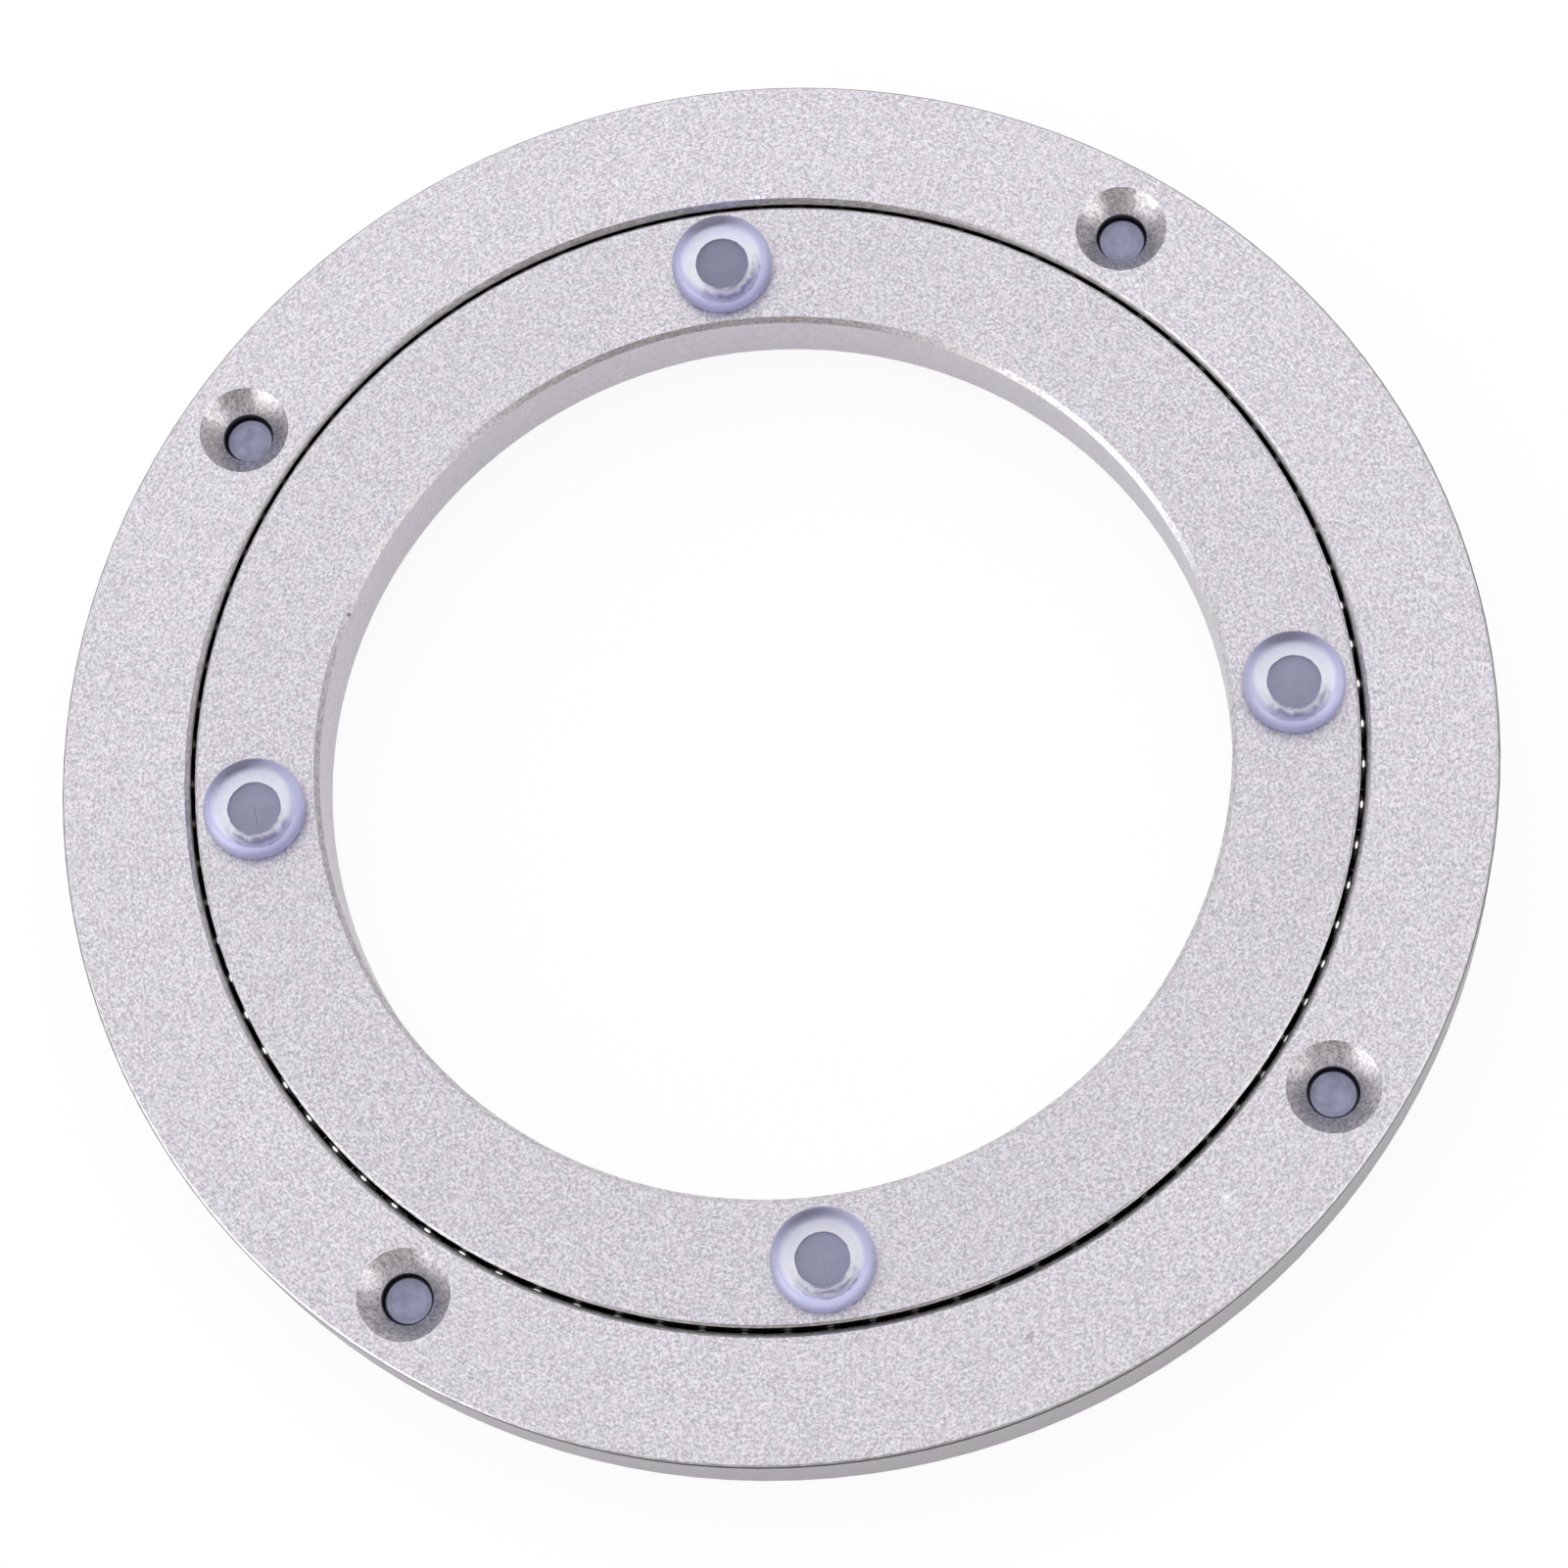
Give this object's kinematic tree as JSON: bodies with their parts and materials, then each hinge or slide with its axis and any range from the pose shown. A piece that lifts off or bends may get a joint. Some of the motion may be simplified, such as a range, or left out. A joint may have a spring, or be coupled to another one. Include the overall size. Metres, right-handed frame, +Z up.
{
  "type": "lazy susan bearing",
  "caption": "Flat turntable bearing: two concentric aluminium rings on a full row of steel balls, with screw holes and clear push-in pads on both sides.",
  "frame": {"origin": "on the bearing's axis, level with the undersides of the four feet", "axes": "+Z up along the bearing's axis; the outer ring's first screw hole is at 45 degrees from +X, and the filling plug is at +Y"},
  "size_m": [0.14, 0.14, 0.014],
  "materials": {
    "ring_aluminium": "fine bead-blasted silver anodised, slightly sparkling",
    "plug_aluminium": "turned, bare",
    "ball_steel": "polished bearing steel",
    "clear_pad": "clear soft plastic with a faint blue-violet tint"
  },
  "bodies": {
    "outer_body": {"outer_ring": "ring_aluminium", "ball_fill_plug": "plug_aluminium", "foot_pad_1": "clear_pad", "foot_pad_2": "clear_pad", "foot_pad_3": "clear_pad", "foot_pad_4": "clear_pad"},
    "inner_body": {"inner_ring": "ring_aluminium", "top_pad_1": "clear_pad", "top_pad_2": "clear_pad", "top_pad_3": "clear_pad", "top_pad_4": "clear_pad"},
    "ball_body": {"bearing_balls": "ball_steel"}
  },
  "joints": [
    {"name": "inner_spin", "type": "hinge", "parent": "outer_body", "child": "inner_body", "pos_m": [0, 0, 0.007], "axis": [0, 0, 1], "continuous": true},
    {"name": "ball_orbit", "type": "hinge", "parent": "outer_body", "child": "ball_body", "pos_m": [0, 0, 0.007], "axis": [0, 0, 1], "continuous": true}
  ],
  "couplings": [
    {"joint": "ball_orbit", "follows": "inner_spin", "ratio": 0.4826}
  ]
}
